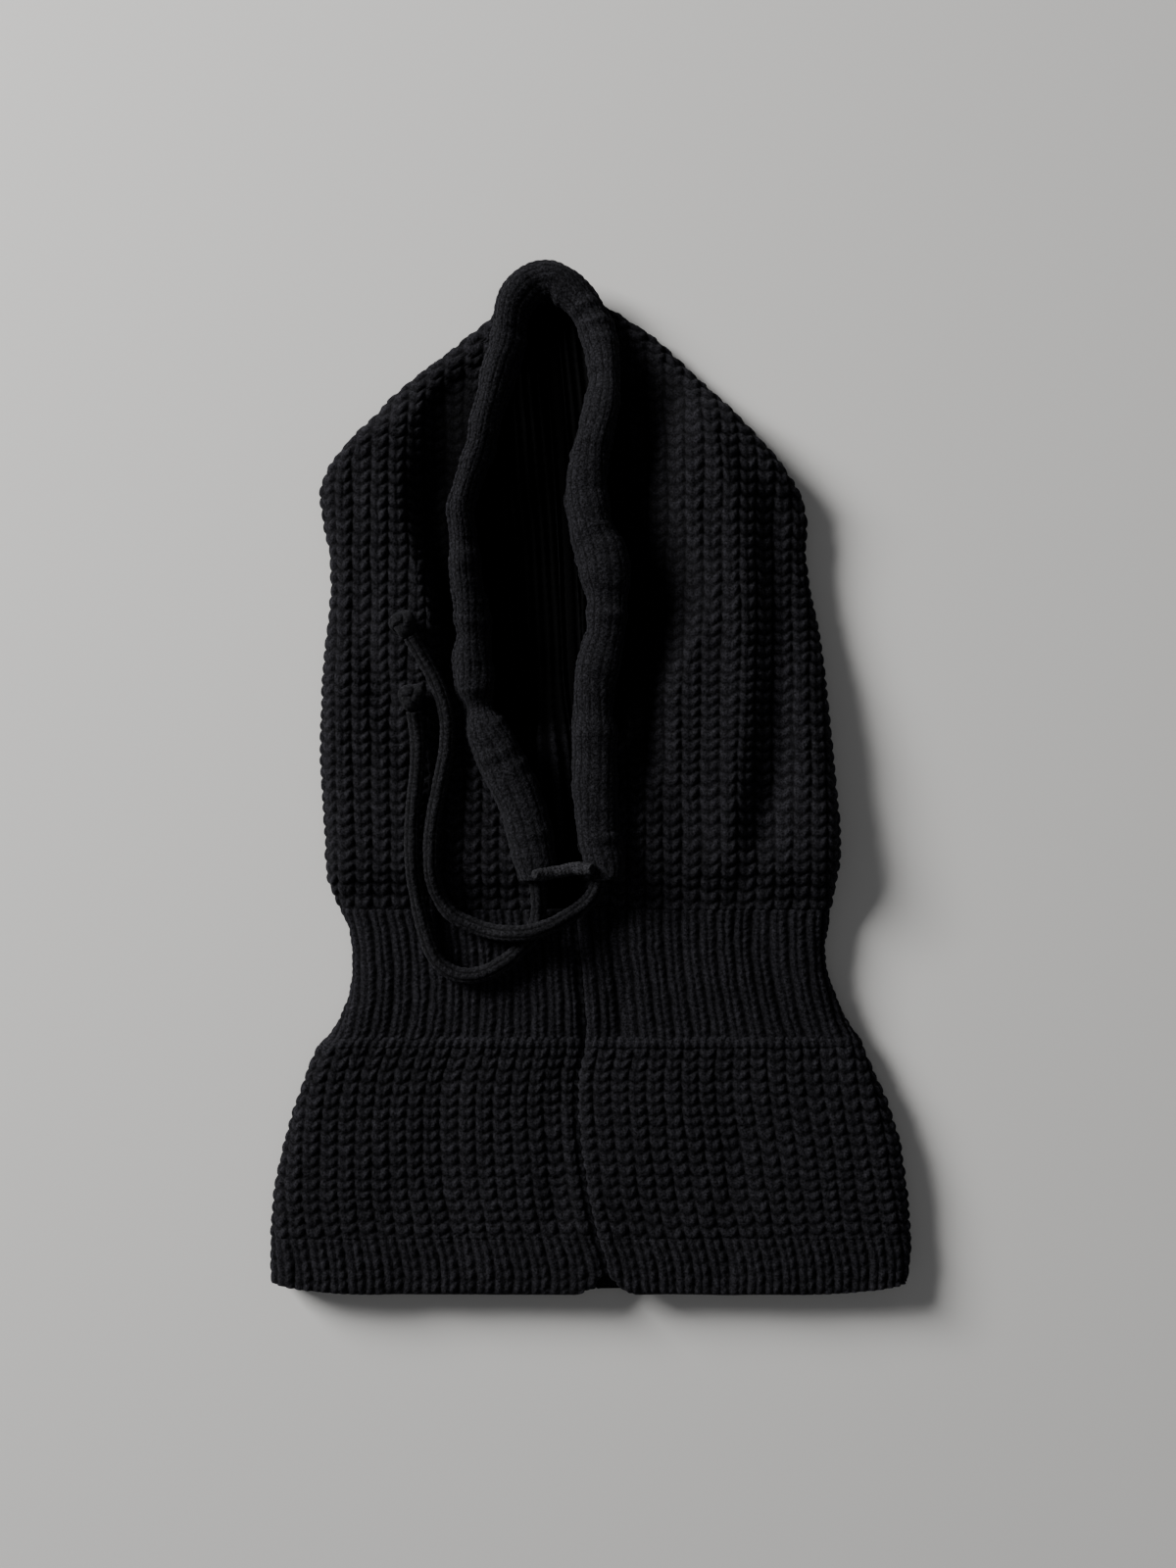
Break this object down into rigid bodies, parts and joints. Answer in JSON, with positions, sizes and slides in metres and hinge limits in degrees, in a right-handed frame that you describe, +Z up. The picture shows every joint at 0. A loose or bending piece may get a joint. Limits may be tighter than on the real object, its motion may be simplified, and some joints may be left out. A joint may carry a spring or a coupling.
{
  "type": "balaclava",
  "caption": "Chunky knitted balaclava with a drawstring face opening, ribbed neck and flared bib, lying flat on its back",
  "frame": {"origin": "middle of the garment's outline, on the surface it lies on", "axes": "+Z up out of the face opening, +Y from the hem to the crown, +X to the right of someone looking down on the face opening"},
  "size_m": [0.2814, 0.449, 0.0339],
  "materials": {
    "chunky_rib_knit": "matt, fuzzy",
    "fine_rib_knit": "matt, fuzzy",
    "raised_row_knit": "matt, fuzzy",
    "hem_rib_knit": "matt, fuzzy",
    "jersey_channel": "matt",
    "drawcord_knit": "matt",
    "seam_yarn": "matt",
    "bartack_thread": "satin"
  },
  "bodies": {
    "garment": {"hood_left": "chunky_rib_knit", "neck_rib_left": "fine_rib_knit", "border_row_left": "raised_row_knit", "bib_left": "chunky_rib_knit", "hem_rib_left": "hem_rib_knit", "hood_right": "chunky_rib_knit", "neck_rib_right": "fine_rib_knit", "border_row_right": "raised_row_knit", "bib_right": "chunky_rib_knit", "hem_rib_right": "hem_rib_knit", "crown_and_back_seam": "seam_yarn", "centre_front_seam": "seam_yarn", "face_channel": "jersey_channel", "throat_bartack": "bartack_thread", "drawcord_core": "drawcord_knit"},
    "right_cord_end": {"drawcord_end_right": "drawcord_knit", "stopper_knot_right": "drawcord_knit"},
    "left_cord_end": {"drawcord_end_left": "drawcord_knit", "stopper_knot_left": "drawcord_knit"}
  },
  "joints": [
    {"name": "right_cord_pull", "type": "slide", "parent": "garment", "child": "right_cord_end", "axis": [0.0872, -0.9962, 0], "range_m": [0, 0.025]},
    {"name": "left_cord_pull", "type": "slide", "parent": "garment", "child": "left_cord_end", "axis": [0.0872, -0.9962, 0], "range_m": [0, 0.025]}
  ],
  "couplings": [
    {"joint": "left_cord_pull", "follows": "right_cord_pull", "ratio": 1}
  ]
}
